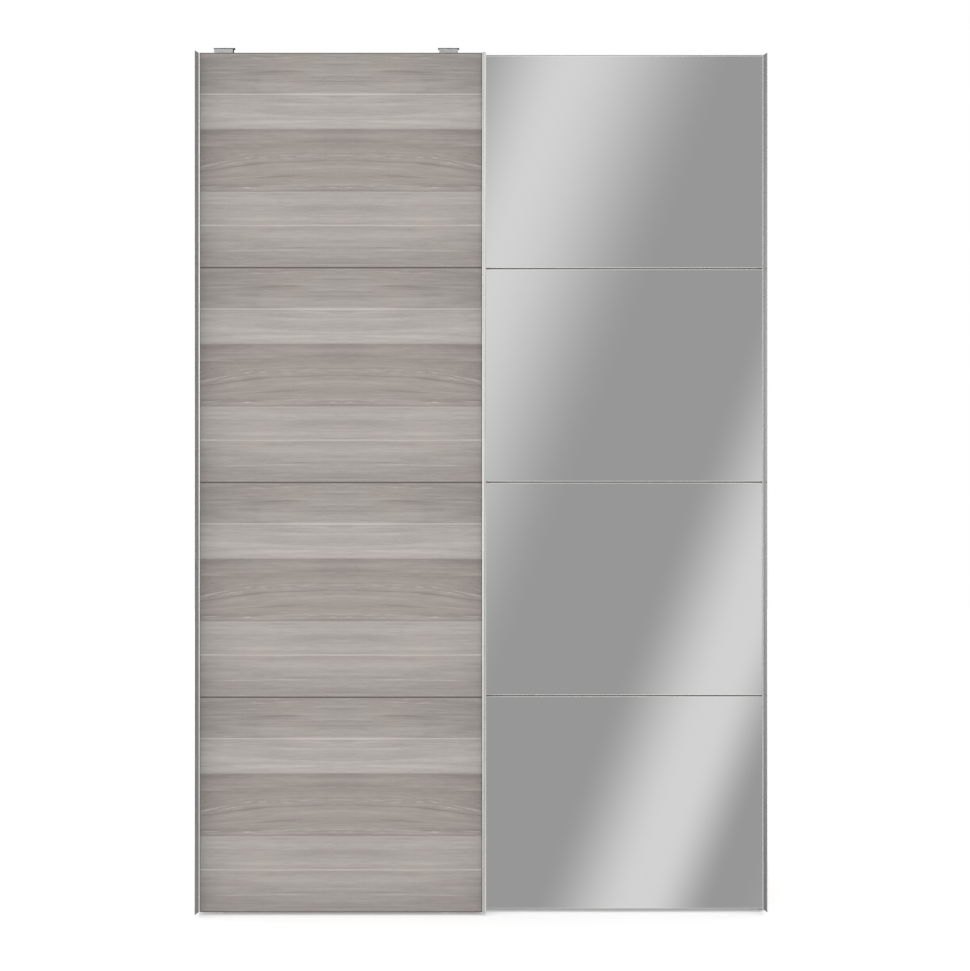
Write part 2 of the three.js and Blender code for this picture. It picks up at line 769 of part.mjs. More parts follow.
// A sprung pin that pulls down out of its lane, with a pull tab under the block.
function buildGuidePin(name, x, lane) {
  const pin = barAlongZ(x, lane, GUIDE_PIN_RADIUS, PIN_FOOT, PIN_TOP);
  const tab = slab(
    [x - PIN_TAB.halfWidth, x + PIN_TAB.halfWidth],
    [lane - PIN_TAB.halfDepth, lane + PIN_TAB.halfDepth],
    [PIN_FOOT - PIN_TAB.thickness, PIN_FOOT],
  );
  addMesh(name, joined([pin, tab]), material.whitePlastic);
}

// ---------------------------------------------------------------- assembly
function buildFrontDoor() {
  const left = -SIDE;
  buildDoor({
    name: "front",
    left,
    face: FRONT_FACE,
    handleSide: "left",
    meeting: ridgeSection,
    panelName: "wood_panel",
    panel: material.woodPanel,
    sheet: BOARD_SHEET,
  });
  const places = {
    left: left + HANGER_OUTER,
    right: left + DOOR_WIDTH - HANGER_INNER,
  };
  for (const [side, x] of Object.entries(places)) {
    buildFrontHanger(`front_hanger_${side}`, x);
    buildHangerCover(`front_hanger_cover_${side}`, x);
    buildWheel(`front_wheel_${side}`, x, FRONT_LANE);
    buildFrontGuide(`front_guide_${side}`, x);
    buildGuidePin(`front_guide_pin_${side}`, x, GUIDE_FRONT_LANE);
  }
}

function buildRearDoor() {
  const left = SIDE - DOOR_WIDTH;
  buildDoor({
    name: "rear",
    left,
    face: REAR_FACE,
    handleSide: "right",
    meeting: flatSection,
    panelName: "mirror_panel",
    panel: material.mirror,
    sheet: MIRROR_SHEET,
  });
  const places = { left: left + HANGER_INNER, right: SIDE - HANGER_OUTER };
  for (const [side, x] of Object.entries(places)) {
    buildRearHanger(`rear_hanger_${side}`, x);
    buildWheel(`rear_wheel_${side}`, x, REAR_LANE);
    buildRearGuide(`rear_guide_${side}`, x);
    buildGuidePin(`rear_guide_pin_${side}`, x, GUIDE_REAR_LANE);
  }
}

buildCarcass();
buildShelves();
buildHangingRail();
buildTopTrack();
buildGuideTrack();
buildTrackStops();
buildFrontDoor();
buildRearDoor();

export default wardrobe;
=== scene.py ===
"""Sliding door wardrobe: finishes, small fittings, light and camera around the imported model."""

import math
import random

import bpy
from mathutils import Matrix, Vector


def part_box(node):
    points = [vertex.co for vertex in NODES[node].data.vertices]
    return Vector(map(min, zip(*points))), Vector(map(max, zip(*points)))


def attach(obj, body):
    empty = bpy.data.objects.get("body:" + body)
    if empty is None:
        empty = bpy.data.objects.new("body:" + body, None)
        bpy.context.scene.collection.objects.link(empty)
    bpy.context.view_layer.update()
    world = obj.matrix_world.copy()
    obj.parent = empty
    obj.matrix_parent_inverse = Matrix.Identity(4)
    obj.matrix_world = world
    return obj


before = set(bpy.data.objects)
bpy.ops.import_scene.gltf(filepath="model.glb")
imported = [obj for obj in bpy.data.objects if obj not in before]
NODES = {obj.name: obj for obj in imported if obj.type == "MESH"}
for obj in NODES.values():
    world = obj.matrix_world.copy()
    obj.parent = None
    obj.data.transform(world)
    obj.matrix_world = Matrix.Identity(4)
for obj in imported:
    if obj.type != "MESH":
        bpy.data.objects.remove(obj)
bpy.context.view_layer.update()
MM = 0.001
SHARP = math.radians(35)  # an edge that turns more than this is rounded
WELD_REACH = 1e-5
random.seed(7)


# ---------------------------------------------------------------- node graphs
def linear(*srgb):
    """8-bit sRGB numbers as linear RGBA."""
    out = []
    for value in srgb:
        c = value / 255
        out.append(c / 12.92 if c <= 0.04045 else ((c + 0.055) / 1.055) ** 2.4)
    return (*out, 1.0)


class Graph:
    """A short way to write a node tree: every call returns an output socket."""

    def __init__(self, tree):
        self.tree = tree

    def node(self, kind, **settings):
        made = self.tree.nodes.new(kind)
        for key, value in settings.items():
            setattr(made, key, value)
        return made

    def feed(self, socket, value):
        if isinstance(value, bpy.types.NodeSocket):
            self.tree.links.new(value, socket)
        else:
            socket.default_value = value

    def math(self, operation, *values, clamp=False):
        made = self.node("ShaderNodeMath", operation=operation, use_clamp=clamp)
        for socket, value in zip(made.inputs, values):
            self.feed(socket, value)
        return made.outputs[0]

    def add(self, a, b):
        return self.math("ADD", a, b)

    def sub(self, a, b):
        return self.math("SUBTRACT", a, b)

    def mul(self, a, b):
        return self.math("MULTIPLY", a, b)

    def total(self, *terms):
        """The sum of (socket, weight) terms."""
        result = None
        for socket, weight in terms:
            term = self.mul(socket, weight)
            result = term if result is None else self.add(result, term)
        return result

    def position(self):
        """The surface point's X, Y and Z, in metres."""
        made = self.node("ShaderNodeSeparateXYZ")
        self.feed(made.inputs[0], self.node("ShaderNodeTexCoord").outputs["Object"])
        return made.outputs

    def point(self, x, y, z):
        made = self.node("ShaderNodeCombineXYZ")
        for socket, value in zip(made.inputs, (x, y, z)):
            self.feed(socket, value)
        return made.outputs[0]

    def noise(self, vector, scale=1.0, detail=3.0, roughness=0.55):
        made = self.node("ShaderNodeTexNoise")
        self.feed(made.inputs["Vector"], vector)
        made.inputs["Scale"].default_value = scale
        made.inputs["Detail"].default_value = detail
        made.inputs["Roughness"].default_value = roughness
        return made.outputs[0]

    def ramp(self, value, stops):
        """A colour ramp through (place, level) stops; a level is a colour or one grey number."""
        made = self.node("ShaderNodeValToRGB")
        elements = made.color_ramp.elements
        while len(elements) < len(stops):
            elements.new(0.5)
        for element, (place, level) in zip(elements, stops):
            element.position = place
            element.color = level if isinstance(level, tuple) else (level, level, level, 1)
        self.feed(made.inputs[0], value)
        return made.outputs[0]

    def spread(self, value, low, high, to_low, to_high, smooth=False):
        """Maps low to high onto to_low to to_high, and holds the ends."""
        made = self.node("ShaderNodeMapRange")
        if smooth:
            made.interpolation_type = "SMOOTHSTEP"
        for socket, number in zip(made.inputs, (value, low, high, to_low, to_high)):
            self.feed(socket, number)
        return made.outputs[0]

    def hump(self, value, centre, half):
        """1 where value is at centre, falling smoothly to 0 at half either side."""
        away = self.math("ABSOLUTE", self.add(value, -centre))
        return self.spread(away, 0.0, half, 1.0, 0.0, smooth=True)

    def mix(self, factor, a, b):
        made = self.node("ShaderNodeMix", data_type="RGBA")
        self.feed(made.inputs["Factor"], factor)
        self.feed(made.inputs["A"], a)
        self.feed(made.inputs["B"], b)
        return made.outputs["Result"]

    def bump(self, height, strength, distance):
        made = self.node("ShaderNodeBump")
        made.inputs["Strength"].default_value = strength
        made.inputs["Distance"].default_value = distance
        self.feed(made.inputs["Height"], height)
        return made.outputs[0]


def material(name, **settings):
    """A Principled material and its graph; settings are plain socket values."""
    made = bpy.data.materials.new(name)
    made.use_nodes = True
    graph = Graph(made.node_tree)
    graph.shader = made.node_tree.nodes["Principled BSDF"]
    for key, value in settings.items():
        graph.shader.inputs[key.replace("_", " ")].default_value = value
    return made, graph


def link(graph, **sockets):
    """Feeds the material's shader; spaces in a socket's name are underscores here."""
    for key, value in sockets.items():
        graph.feed(graph.shader.inputs[key.replace("_", " ")], value)


# ---------------------------------------------------------------- wood
# A grain layer's scale along and across the grain, its place in the noise, its detail and roughness.
GRAIN = {
    "broad": (2.0, 36, 0, 5, 0.60),
    "fine": (8.0, 210, 4, 3, 0.55),
    "slow": (0.9, 6, 8, 2, 0.55),
    "pale": (3.2, 115, 12, 3, 0.55),
    "deep": (2.6, 90, 16, 3, 0.55),
    "dash": (24.0, 250, 20, 2, 0.55),
}
THIN_LINE = (0.58, 0.70)  # noise between these fades in as a thin line


def streaks(g, along, across, offset=0.0):
    """Wood streaks, about 0.5 on average, and their fine layer."""
    layer = {}
    for name, (scale_along, scale_across, place, detail, roughness) in GRAIN.items():
        where = g.point(g.mul(along, scale_along), g.mul(across, scale_across), offset + place)
        layer[name] = g.noise(where, detail=detail, roughness=roughness)
    pale_lines = g.spread(layer["pale"], *THIN_LINE, 0.0, 1.0, smooth=True)
    deep_lines = g.spread(layer["deep"], *THIN_LINE, 0.0, 1.0, smooth=True)
    value = g.total(
        (layer["broad"], 0.48),
        (layer["fine"], 0.20),
        (layer["slow"], 0.18),
        (layer["dash"], 0.14),
        (pale_lines, 0.10),
        (deep_lines, -0.10),
    )
    return value, layer["fine"]


def pores(g, along, across):
    """Short dark pores: 1 in a pore and 0 elsewhere."""
    cells = g.noise(g.point(g.mul(along, 60), g.mul(across, 900), 2.0), detail=1)
    return g.spread(cells, 0.60, 0.69, 0.0, 1.0, smooth=True)


WARM_WOOD = linear(172, 158, 147)


def finish_wood(g, tone, along, across, fine, dark, light):
    """Colour, sheen and grain relief from a tone that runs from 0, dark, to 1, light."""
    pore = pores(g, along, across)
    toned = g.add(tone, g.mul(pore, -0.10))
    colour = g.ramp(toned, [(0.0, dark), (1.0, light)])
    drift = g.noise(g.point(g.mul(along, 3), g.mul(across, 5), 1.0), detail=1)
    warm = g.mix(0.5, colour, WARM_WOOD)
    drifting = g.mix(g.spread(drift, 0.35, 0.65, 0.0, 0.25), colour, warm)
    link(
        g,
        Base_Color=drifting,
        Roughness=g.spread(g.add(fine, g.mul(pore, 0.3)), 0.3, 0.9, 0.46, 0.66),
        Normal=g.bump(g.add(g.mul(fine, 0.5), g.mul(pore, -0.6)), 0.25, 0.0004),
    )


FACE_STEP = 0.83  # carries the grain round a board's edge without repeating its face


def board_material(name, along_axis, dark, light, offset):
    """Wood-effect melamine whose grain runs along one axis."""
    made, g = material(name)
    place = g.position()
    along = place[along_axis]
    first, second = [place[i] for i in range(3) if i != along_axis]
    across = g.add(first, g.mul(second, FACE_STEP))
    value, fine = streaks(g, along, across, offset)
    tone = g.spread(value, 0.30, 0.70, 0.12, 0.88)
    finish_wood(g, tone, along, across, fine, dark, light)
    return made


# The print on one panel, with heights as shares of the panel: 0 is its top and 1 its bottom.
# Tones run from 0, dark, to 1, light.
PRINT_BOARDS = [  # where a printed board starts, its tone there, and its tone at its lower edge
    (0.00, 0.45, 0.45),
    (0.13, 0.45, 0.55),
    (0.20, 0.60, 0.70),
    (0.35, 0.30, 0.40),
    (0.50, 0.45, 0.40),
    (0.64, 0.60, 0.60),
    (0.81, 0.60, 0.40),
]
BOARD_EDGE = 0.004  # half the height of the change from one printed board to the next
PRINT_LINES = [(0.13, -0.10), (0.19, 0.40), (0.50, -0.20), (0.64, -0.20), (0.80, 0.40)]  # place, tone
LINE_HALF = 0.005  # half a line's height
PRINT_FLECKS = [(0.01, 0.02, 0.5), (0.48, 0.02, 1.0), (0.62, 0.02, 0.9)]  # place, half height, share
FLECK_TONE = 0.34
PRINT_BOWS = [(0.00, 0.18, 0.02), (0.53, 0.12, 0.055)]  # place, half height, dip at the door's sides
BOW_POWER = 2.6  # how late the grain bends towards the door's sides
# Painted shade: the print darkens towards the door's sides, for the shade by the stiles.
SIDE_PAINTED_SHADE = -0.10  # added at the door's sides
STREAK_TONE = 1.5
WANDER = 0.012  # how far the grain strays up and down


def board_stops():
    """Ramp stops for the print's boards: an even change along each, and a short one at each joint."""
    ends = [start for start, _, _ in PRINT_BOARDS[1:]] + [1.0]
    stops = []
    for (start, first, last), end in zip(PRINT_BOARDS, ends):
        stops += [(start + BOARD_EDGE, first), (end - BOARD_EDGE, last)]
    return stops


def print_material():
    """The front door's board: the same book-matched print on each of its four panels."""
    made, g = material("grey_oak_print", Specular_IOR_Level=0.3)
    x, y, z = g.position()
    low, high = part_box("front_wood_panel_4")
    pitch = high.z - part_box("front_wood_panel_3")[1].z
    half = (high.x - low.x) / 2
    side = g.math("ABSOLUTE", g.add(x, -(low.x + high.x) / 2))
    depth = g.math("FRACT", g.mul(g.sub(high.z, z), 1 / pitch))
    bow = g.math("POWER", g.mul(side, 1 / half), BOW_POWER)
    wander = g.noise(g.point(g.mul(side, 3), g.mul(depth, 5), 0.0), detail=2)
    dips = g.total(*[(g.hump(depth, at, tall), dip) for at, tall, dip in PRINT_BOWS])
    bent = g.add(g.sub(depth, g.mul(dips, bow)), g.mul(g.add(wander, -0.5), WANDER))
    across = g.mul(bent, pitch)
    value, fine = streaks(g, side, across)
    fleck = g.noise(g.point(g.mul(side, 19), g.mul(across, 330), 5.0), detail=1)
    where = g.total(*[(g.hump(bent, at, tall), share) for at, tall, share in PRINT_FLECKS])
    flecks = g.mul(g.spread(fleck, 0.56, 0.66, 0.0, 1.0, smooth=True), where)
    lines = g.total(*[(g.hump(bent, at, LINE_HALF), tone) for at, tone in PRINT_LINES])
    boards = g.ramp(bent, board_stops())
    # The tone takes painted shade towards the door's sides, along the bow's curve.
    tone = g.total(
        (boards, 1.0),
        (lines, 1.0),
        (g.add(value, -0.5), STREAK_TONE),
        (flecks, FLECK_TONE),
        (bow, SIDE_PAINTED_SHADE),
    )
    finish_wood(g, tone, side, across, fine, linear(105, 99, 95), linear(191, 186, 181))
    return made


# ---------------------------------------------------------------- metal, plastic, glass
# Painted shade: the colour a handle stile's inward face is darkened towards, for the shade in its
# recess.
GRIP_PAINTED_SHADE = linear(120, 122, 124)
DRAWN_ALONG = 2.0  # scale of the drawing lines along the extrusion, and across it
DRAWN_ACROSS = 2600


def aluminium_material(name, along_axis, colour, roughness, metallic, inward=0, painted_shade_share=0.0):
    """Anodised extrusion with faint drawing lines along its length.

    A handle stile also has an inward side, +1 or -1 along X, whose face is darkened by the share:
    painted shade for its recess.
    """
    made, g = material(name, Metallic=metallic)
    place = g.position()
    stretched = [g.mul(place[i], DRAWN_ALONG if i == along_axis else DRAWN_ACROSS) for i in range(3)]
    lines = g.noise(g.point(*stretched), detail=2)
    cloud = g.noise(g.point(*[g.mul(p, 14) for p in place]), detail=2)
    shade = g.total((lines, 0.6), (cloud, 0.4))
    darker = tuple(c * 0.90 for c in colour[:3]) + (1.0,)
    tint = g.mix(g.spread(shade, 0.35, 0.65, 0.0, 1.0), darker, colour)
    # Painted shade: the inward face is darkened by how far it faces inward along X.
    if inward:
        normal = g.node("ShaderNodeSeparateXYZ")
        g.feed(normal.inputs[0], g.node("ShaderNodeNewGeometry").outputs["Normal"])
        painted_shade_mask = g.spread(g.mul(normal.outputs[0], inward), 0.55, 0.85, 0.0, painted_shade_share, smooth=True)
        tint = g.mix(painted_shade_mask, tint, GRIP_PAINTED_SHADE)
    link(
        g,
        Base_Color=tint,
        Roughness=g.spread(shade, 0.3, 0.7, roughness - 0.05, roughness + 0.05),
        Normal=g.bump(lines, 0.06, 0.00015),
    )
    return made


def steel_material():
    """Zinc-plated pressed steel: faint spangle and rolling marks."""
    made, g = material("zinc_steel", Metallic=0.9)
    x, y, z = g.position()
    spangle = g.node("ShaderNodeTexVoronoi")
    g.feed(spangle.inputs["Vector"], g.point(x, y, z))
    spangle.inputs["Scale"].default_value = 260
    rolled = g.noise(g.point(g.mul(x, 90), g.mul(y, 900), g.mul(z, 900)), detail=2)
    shade = g.total((spangle.outputs["Distance"], 0.35), (rolled, 0.65))
    link(
        g,
        Base_Color=g.ramp(shade, [(0.25, linear(176, 180, 180)), (0.75, linear(222, 224, 222))]),
        Roughness=g.spread(shade, 0.2, 0.8, 0.22, 0.42),
        Normal=g.bump(shade, 0.15, 0.0002),
    )
    return made


def chrome_material():
    """Chromed tube with faint lengthwise rubbing."""
    made, g = material("chromed_tube", Metallic=1.0)
    x, y, z = g.position()
    rub = g.noise(g.point(g.mul(x, 4), g.mul(y, 700), g.mul(z, 700)), detail=3)
    link(
        g,
        Base_Color=g.ramp(rub, [(0.3, linear(214, 216, 218)), (0.7, linear(232, 233, 234))]),
        Roughness=g.spread(rub, 0.3, 0.7, 0.10, 0.20),
        Normal=g.bump(rub, 0.05, 0.0001),
    )
    return made


def plastic_material(name, dark, light, roughness, grain):
    """Moulded plastic with a fine spark-eroded grain and faint rub marks."""
    made, g = material(name, Specular_IOR_Level=0.45)
    place = g.position()
    skin = g.noise(g.point(*place), scale=grain, detail=2)
    rub = g.noise(g.point(*place), scale=70, detail=3)
    link(
        g,
        Base_Color=g.ramp(g.total((skin, 0.4), (rub, 0.6)), [(0.3, dark), (0.7, light)]),
        Roughness=g.spread(rub, 0.3, 0.7, roughness - 0.07, roughness + 0.07),
        Normal=g.bump(skin, 0.25, 0.0001),
    )
    return made


GLASS_SKIN = 0.0003  # depth of the silvered face, and of the film's face
GLASS_FADE = 0.0001
ARRIS_START = 0.0010  # from a pane's edge, where the ground arris starts to fade, and where it ends
ARRIS_END = 0.0016


def mirror_material():
    """Silvered glass: mirror in front, ground green edge, grey safety film behind."""
    made, g = material("silvered_glass", IOR=1.5)
    x, y, z = g.position()
    low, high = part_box("rear_mirror_panel_2")
    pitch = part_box("rear_mirror_panel_3")[0].z - low.z
    skin = GLASS_SKIN + GLASS_FADE
    behind = g.spread(y, low.y + GLASS_SKIN, low.y + skin, 0.0, 1.0)
    film = g.spread(y, high.y - skin, high.y - GLASS_SKIN, 0.0, 1.0)
    haze = g.noise(g.point(g.mul(x, 5), g.mul(y, 5), g.mul(z, 4)), detail=4)
    mottle = g.noise(g.point(x, y, z), scale=900, detail=2)
    # A ground arris runs along the top and bottom of each pane, just inside its edge.
    from_base = g.math("FRACT", g.mul(g.add(z, -low.z), 1 / pitch))
    height = (high.z - low.z) / pitch
    rise = g.mul(g.math("MINIMUM", from_base, g.math("ABSOLUTE", g.add(from_base, -height))), pitch)
    arris = g.spread(rise, ARRIS_START, ARRIS_END, 1.0, 0.0, smooth=True)
    silver = g.mix(arris, linear(222, 223, 222), linear(243, 243, 241))
    edged = g.mix(behind, silver, linear(118, 148, 136))
    backing = g.ramp(mottle, [(0.3, linear(120, 122, 124)), (0.7, linear(138, 140, 141))])
    polish = g.add(g.spread(haze, 0.45, 0.75, 0.006, 0.03), g.mul(arris, 0.12))
    link(
        g,
        Base_Color=g.mix(film, edged, backing),
        Metallic=g.mul(g.sub(1.0, behind), g.spread(arris, 0.0, 1.0, 1.0, 0.45)),
        Roughness=g.add(polish, g.mul(behind, 0.42)),
        Normal=g.bump(g.mul(mottle, film), 0.2, 0.0002),
    )
    return made


def hardboard_material():
    """Painted hardboard with a faint felt texture."""
    made, g = material("painted_hardboard", Specular_IOR_Level=0.3)
    place = g.position()
    felt = g.noise(g.point(*place), scale=420, detail=4)
    fibre = g.noise(g.point(*place), scale=75, detail=4)
    cloud = g.noise(g.point(*place), scale=7, detail=2)
    link(
        g,
        Base_Color=g.ramp(
            g.total((felt, 0.4), (fibre, 0.45), (cloud, 0.15)),
            [(0.35, linear(198, 193, 186)), (0.65, linear(211, 207, 200))],
        ),
        Roughness=g.spread(felt, 0.3, 0.7, 0.68, 0.86),
        Normal=g.bump(felt, 0.3, 0.0003),
    )
    return made


def pile_material():
    """Dark woven-pile seal."""
    made, g = material("pile_seal", Sheen_Weight=0.3, Roughness=0.9)
    fibres = g.noise(g.point(*g.position()), scale=2200, detail=2)
    link(g, Base_Color=g.ramp(fibres, [(0.3, linear(40, 40, 42)), (0.7, linear(82, 82, 84))]))
    return made


ALUMINIUM = linear(231, 231, 229)
BRIGHT = linear(249, 249, 247)
MIRROR_EDGE = linear(205, 205, 204)
DARK = linear(116, 109, 104)
BOARD = (linear(128, 120, 114), linear(200, 195, 190))  # dark and light
EDGING = (linear(118, 110, 104), linear(184, 178, 172))
BLACK = (linear(24, 24, 25), linear(40, 40, 42))
WHITE = (linear(222, 222, 217), linear(238, 238, 233))
RUBBER = (linear(30, 30, 31), linear(52, 52, 53))
ALONG_X = 0
ALONG_Z = 2
MATERIALS = {
    "print": print_material(),
    "board_x": board_material("grey_oak_board_x", ALONG_X, *BOARD, 11.0),
    "board_z": board_material("grey_oak_board_z", ALONG_Z, *BOARD, 23.0),
    "edging_x": board_material("grey_oak_edging_x", ALONG_X, *EDGING, 31.0),
    "edging_z": board_material("grey_oak_edging_z", ALONG_Z, *EDGING, 37.0),
    "alu_z": aluminium_material("anodised_upright", ALONG_Z, BRIGHT, 0.09, 0.94),
    "alu_edge": aluminium_material("anodised_mirror_edge", ALONG_X, MIRROR_EDGE, 0.10, 1.0),
    # The handle stiles' materials carry painted shade on their inward faces.
    "alu_front": aluminium_material("anodised_front_grip", ALONG_Z, BRIGHT, 0.18, 0.85, 1, 0.90),
    "alu_rear": aluminium_material("anodised_rear_grip", ALONG_Z, BRIGHT, 0.20, 0.85, -1, 0.95),
    "alu_x": aluminium_material("anodised_track", ALONG_X, ALUMINIUM, 0.34, 0.80),
    "dark_x": aluminium_material("dark_profile", ALONG_X, DARK, 0.42, 0.50),
    "steel": steel_material(),
    "chrome": chrome_material(),
    "black": plastic_material("black_plastic", *BLACK, 0.46, 1500),
    "white": plastic_material("white_plastic", *WHITE, 0.38, 1200),
    "mirror": mirror_material(),
    "hardboard": hardboard_material(),
    "pile": pile_material(),
    "rubber": plastic_material("black_rubber", *RUBBER, 0.68, 900),
}


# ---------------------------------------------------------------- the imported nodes
def smooth_shade(mesh):
    for polygon in mesh.polygons:
        polygon.use_smooth = True


def round_edges(obj, width):
    """Rounds sharp edges by width, in millimetres."""
    bevel = obj.modifiers.new("bevel", "BEVEL")
    bevel.width = width * MM
    bevel.segments = 2
    bevel.limit_method = "ANGLE"
    bevel.angle_limit = SHARP
    bevel.harden_normals = True


def soften(node, look, width):
    """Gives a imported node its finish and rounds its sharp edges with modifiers.

    Its stored normals go, because they would hold the facets flat over the rounded edges.
    """
    obj = NODES[node]
    obj.data.materials.clear()
    obj.data.materials.append(MATERIALS[look])
    normals = obj.data.attributes.get("custom_normal")
    if normals:
        obj.data.attributes.remove(normals)
    smooth_shade(obj.data)
    weld = obj.modifiers.new("weld", "WELD")
    weld.merge_threshold = WELD_REACH
    round_edges(obj, width)


LOOKS = [  # the start of a node's name, its look, and how far its edges are rounded, in millimetres
    ("front_handle_stile", "alu_front", 0.2),
    ("rear_handle_stile", "alu_rear", 0.2),
    ("front_meeting_stile", "alu_z", 0.2),
    ("rear_meeting_stile", "alu_z", 0.2),
    ("front_top_rail", "dark_x", 0.2),
    ("front_bottom_rail", "dark_x", 0.2),
    ("front_divider", "dark_x", 0.2),
    ("rear_top_rail", "alu_edge", 0.2),
    ("rear_bottom_rail", "alu_edge", 0.2),
    ("rear_divider", "dark_x", 0.2),
    ("side_panel", "board_z", 0.6),
    ("centre_partition", "board_z", 0.6),
    ("back_panel", "hardboard", 0.3),
    ("top_panel", "board_x", 0.6),
    ("bottom_panel", "board_x", 0.6),
    ("plinth_board", "board_x", 0.6),
    ("hat_shelf", "board_x", 0.6),
    ("shelf_right", "board_x", 0.6),
    ("hanging_rail", "chrome", 0.2),
    ("rail_socket", "chrome", 0.4),
    ("track_stop", "black", 0.5),
    ("top_track", "alu_x", 0.25),
    ("guide_track", "alu_x", 0.25),
    ("front_wood_panel", "print", 0.3),
    ("rear_mirror_panel", "mirror", 0.25),
    ("front_hanger_cover", "black", 0.6),
    ("front_hanger", "steel", 0.4),
    ("rear_hanger", "steel", 0.4),
    ("front_guide_pin", "white", 0.5),
    ("rear_guide_pin", "white", 0.5),
    ("front_guide", "steel", 0.4),
    ("rear_guide", "black", 0.5),
    ("front_wheel", "white", 0.25),
    ("rear_wheel", "white", 0.25),
]
for node in NODES:
    look, width = next((look, width) for start, look, width in LOOKS if node.startswith(start))
    soften(node, look, width)


# ---------------------------------------------------------------- mesh pieces
class Shape:
    """Vertices and faces gathered from many small solids into one piece."""

    def __init__(self):
        self.points = []
        self.faces = []

    def box(self, low, high):
        base = len(self.points)
        xs, ys, zs = zip(low, high)
        self.points += [(x, y, z) for x in xs for y in ys for z in zs]
        quads = ((0, 1, 3, 2), (4, 6, 7, 5), (0, 4, 5, 1), (2, 3, 7, 6), (0, 2, 6, 4), (1, 5, 7, 3))
        self.faces += [tuple(base + i for i in quad) for quad in quads]

    def lathe(self, centre, axis, profile, sides=24):
        """Turns (radius, height) points in millimetres about an axis.

        A profile that isn't a loop is closed on the axis.
        """
        profile = [(radius * MM, height * MM) for radius, height in profile]
        if profile[0] != profile[-1] and profile[0][0] > 0:
            profile = [(0.0, profile[0][1])] + profile
        z_axis = Vector(axis).normalized()
        x_axis = z_axis.orthogonal().normalized()
        y_axis = z_axis.cross(x_axis)
        loop = profile[0] == profile[-1]
        rings = []
        for radius, height in profile[:-1] if loop else profile:
            count = sides if radius > 0 else 1
            rings.append((len(self.points), count))
            for i in range(count):
                angle = 2 * math.pi * i / sides
                offset = (x_axis * math.cos(angle) + y_axis * math.sin(angle)) * radius
                self.points.append(tuple(Vector(centre) + offset + z_axis * height))
        if loop:
            rings.append(rings[0])
        for (a, na), (b, nb) in zip(rings, rings[1:]):
            for i in range(sides):
                j = (i + 1) % sides
                if na == 1:
                    self.faces.append((a, b + j, b + i))
                elif nb == 1:
                    self.faces.append((a + i, a + j, b))
                else:
                    self.faces.append((a + i, a + j, b + j, b + i))

    def piece(self, name, look, body, bevel=0.0):
        mesh = bpy.data.meshes.new(name)
        mesh.from_pydata(self.points, [], self.faces)
        mesh.materials.append(MATERIALS[look])
        smooth_shade(mesh)
        obj = bpy.data.objects.new(name, mesh)
        bpy.context.scene.collection.objects.link(obj)
        if bevel:
            round_edges(obj, bevel)
        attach(obj, body)


# Shares of a screw head's radius and height, from its rim to the middle of its recess.
SCREW_HEAD = [(1.0, 0.0), (1.0, 0.45), (0.86, 0.82), (0.62, 1.0), (0.30, 1.0), (0.22, 0.45), (0.0, 0.4)]


def screw(shape, centre, axis, radius=3.6, height=1.9):
    """A pan-head screw with a round recess, sitting on a surface at centre."""
    shape.lathe(centre, axis, [(radius * r, height * h) for r, h in SCREW_HEAD], 20)


# ---------------------------------------------------------------- fittings on the doors
# Named sizes are in millimetres, here and for the carcass, and places from the frame are in metres.
# A profile is (radius, height) points.
DOORS = ("front", "rear")
SIDES = ("left", "right")
DOOR_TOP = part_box("front_top_rail")[1].z
BACKWARD = (0, 1, 0)
UP = (0, 0, 1)
DOWN = (0, 0, -1)
SMALL_SCREW = (3.0, 1.6)  # radius and height of the head

HANGER_PLATE = {"front": 2.5, "rear": 2.2}  # thickness
HANGER_SCREW_REACH = 14  # from the hanger's middle, each way
HANGER_SCREW_DROP = 19  # below the door's top
GUIDE_PLATE = {"front": 2.5, "rear": 2.0}
GUIDE_SCREW_REACH = {"front": 13, "rear": 14.5}
GUIDE_SCREW_RISE = {"front": 24, "rear": 12}  # over the guide's foot

SHIELD = [(5.3, 0.0), (7.6, 0.0), (7.6, 0.22), (7.2, 0.28), (5.8, 0.28), (5.3, 0.1), (5.3, 0.0)]
PLUG = [(3.4, 0.0), (3.4, 0.3), (3.0, 0.5), (1.6, 0.5), (1.3, 0.2), (0.0, 0.2)]
PLUG_FROM_BACK = 6.5

PILES = [  # the door, its stile, the groove's place from the stile's outer edge, and the pile's reach
    ("front", "handle", 7.4, 6.0),
    ("front", "meeting", -7.9, 6.0),
    ("rear", "handle", -7.4, 3.6),
    ("rear", "meeting", 7.9, 3.6),
]
PILE_PITCH = 3
PILE_END = 2  # left bare at each end of the stile
PILE_DEPTH = 2.8
PILE_ROOT_HALF = 1.2
PILE_TIP_HALF = 0.9
PILE_SHORT = 0.6  # how much shorter a tip may be
PILE_LEAN = 0.35

GASKET_WIDTH = 0.8
GASKET_HEIGHT = 0.45
GASKET_GAP = 0.02

RIBS = 5
RIB_START = 2.5
RIB_PITCH = 3.75
RIB_HALF = 0.6
RIB_HEIGHT = 0.8
RIB_INSET = 0.8


def middle(node):
    low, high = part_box(node)
    return (low + high) / 2


def build_hanger_screws(door, side):
    """Two screws through a hanger plate's slots, into the back of the door."""
    node = f"{door}_hanger_{side}"
    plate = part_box(node)[0].y + HANGER_PLATE[door] * MM
    shape = Shape()
    for reach in (-HANGER_SCREW_REACH, HANGER_SCREW_REACH):
        place = (middle(node).x + reach * MM, plate, DOOR_TOP - HANGER_SCREW_DROP * MM)
        screw(shape, place, BACKWARD)
    shape.piece(f"{node}_screws", "steel", f"{door}_door")


